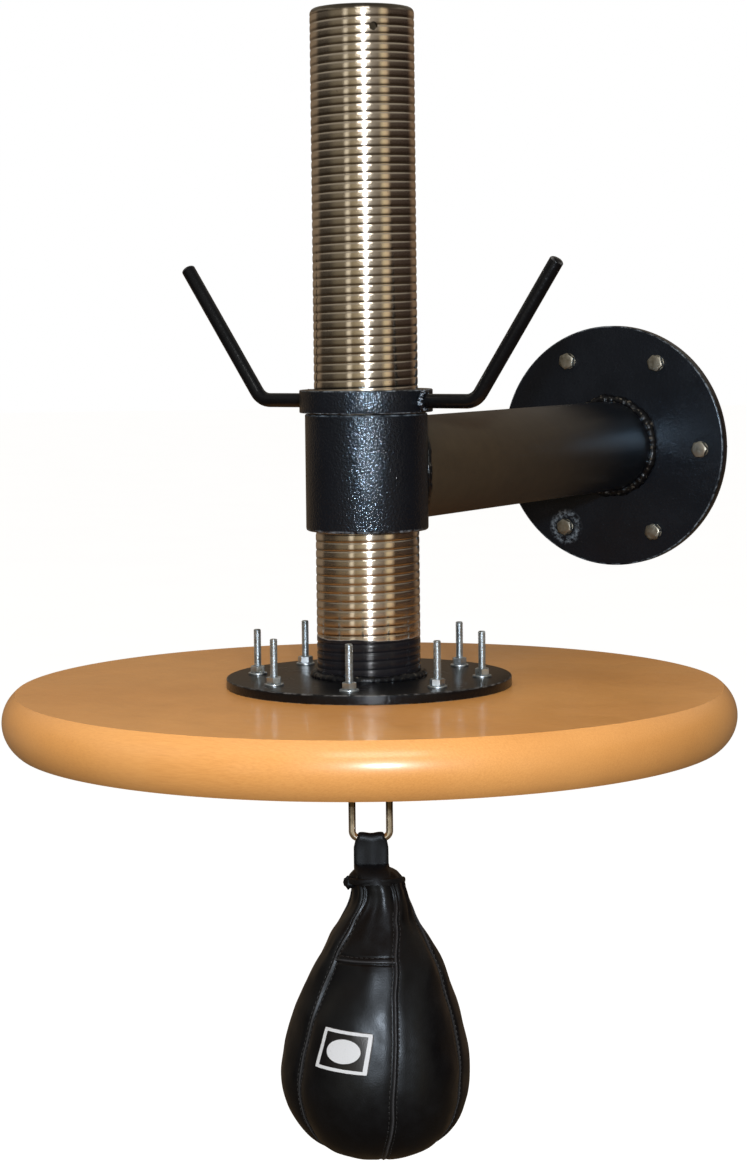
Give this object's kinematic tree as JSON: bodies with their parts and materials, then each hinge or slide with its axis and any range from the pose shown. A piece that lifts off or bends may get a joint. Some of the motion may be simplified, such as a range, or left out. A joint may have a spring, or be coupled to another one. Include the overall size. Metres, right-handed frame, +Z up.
{
  "type": "speed bag platform",
  "caption": "Wall-mounted round wooden speed bag platform on a height-adjusting threaded post, with a locking ring, a swivel and a leather speed bag.",
  "frame": {"origin": "centre of the wall flange's back face", "axes": "+Z up along the post, +Y into the wall; the arm runs along -Y to the post axis at y = -0.5"},
  "size_m": [0.6096, 0.8598, 0.9618],
  "materials": {
    "black_enamel": "gloss black enamel, slightly hammered",
    "machined_steel": "bare machined screw thread",
    "swivel_steel": "satin",
    "plated_wire": "bright plated",
    "zinc_plate": "bluish zinc plate",
    "varnished_wood": "clear satin varnish over fine grain",
    "black_leather": "semi-gloss pebbled leather",
    "bladder_rubber": "matt rubber"
  },
  "bodies": {
    "bracket": {"wall_flange": "black_enamel", "arm_wall_weld": "black_enamel", "arm_tube": "black_enamel", "sleeve": "black_enamel", "wall_bolt_1": "zinc_plate", "wall_bolt_2": "zinc_plate", "wall_bolt_3": "zinc_plate", "wall_bolt_4": "zinc_plate", "wall_bolt_5": "zinc_plate", "wall_bolt_6": "zinc_plate"},
    "ring": {"lock_ring": "black_enamel", "handle_right": "black_enamel", "handle_left": "black_enamel"},
    "race": {"bearing_race": "swivel_steel"},
    "post": {"threaded_post": "machined_steel", "base_flange": "black_enamel", "post_flange_weld": "black_enamel", "board": "varnished_wood", "board_bolt_1": "zinc_plate", "board_bolt_2": "zinc_plate", "board_bolt_3": "zinc_plate", "board_bolt_4": "zinc_plate", "board_bolt_5": "zinc_plate", "board_bolt_6": "zinc_plate", "board_bolt_7": "zinc_plate", "board_bolt_8": "zinc_plate", "board_washer_1": "zinc_plate", "board_washer_2": "zinc_plate", "board_washer_3": "zinc_plate", "board_washer_4": "zinc_plate", "board_washer_5": "zinc_plate", "board_washer_6": "zinc_plate", "board_washer_7": "zinc_plate", "board_washer_8": "zinc_plate", "board_nut_1": "zinc_plate", "board_nut_2": "zinc_plate", "board_nut_3": "zinc_plate", "board_nut_4": "zinc_plate", "board_nut_5": "zinc_plate", "board_nut_6": "zinc_plate", "board_nut_7": "zinc_plate", "board_nut_8": "zinc_plate", "swivel_plate": "swivel_steel", "swivel_housing": "swivel_steel", "swivel_screw_1": "zinc_plate", "swivel_screw_2": "zinc_plate", "swivel_screw_3": "zinc_plate", "swivel_screw_4": "zinc_plate"},
    "yoke": {"swivel_yoke": "swivel_steel"},
    "cross": {"swivel_cross": "swivel_steel"},
    "bail": {"bail": "plated_wire"},
    "bag": {"hang_tab": "black_leather", "bag_cover": "black_leather", "bag_bladder": "bladder_rubber", "bladder_valve": "bladder_rubber"}
  },
  "joints": [
    {"name": "post_lift", "type": "slide", "parent": "bracket", "child": "race", "axis": [0, 0, 1], "range_m": [-0.2805, 0.0705]},
    {"name": "post_turn", "type": "hinge", "parent": "race", "child": "post", "pos_m": [0, -0.5, 0], "axis": [0, 0, 1], "range_deg": [-14400, 3600]},
    {"name": "ring_turn", "type": "hinge", "parent": "bracket", "child": "ring", "pos_m": [0, -0.5, 0.0595], "axis": [0, 0, 1], "range_deg": [-10, 120]},
    {"name": "swivel_spin", "type": "hinge", "parent": "race", "child": "yoke", "pos_m": [0, -0.5, -0.24], "axis": [0, 0, 1], "continuous": true},
    {"name": "swivel_tilt", "type": "hinge", "parent": "yoke", "child": "cross", "pos_m": [0, -0.5, -0.2665], "axis": [-0.4977, 0.8673, 0], "range_deg": [-75, 75]},
    {"name": "bail_swing", "type": "hinge", "parent": "cross", "child": "bail", "pos_m": [0, -0.5, -0.2665], "axis": [0.8673, 0.4977, 0], "range_deg": [-25, 25]},
    {"name": "bag_swing", "type": "hinge", "parent": "bail", "child": "bag", "pos_m": [0, -0.5, -0.307], "axis": [0.8673, 0.4977, 0], "range_deg": [-20, 20]}
  ],
  "couplings": [
    {"joint": "post_lift", "follows": "post_turn", "m_per_rad": 0.0011141}
  ]
}
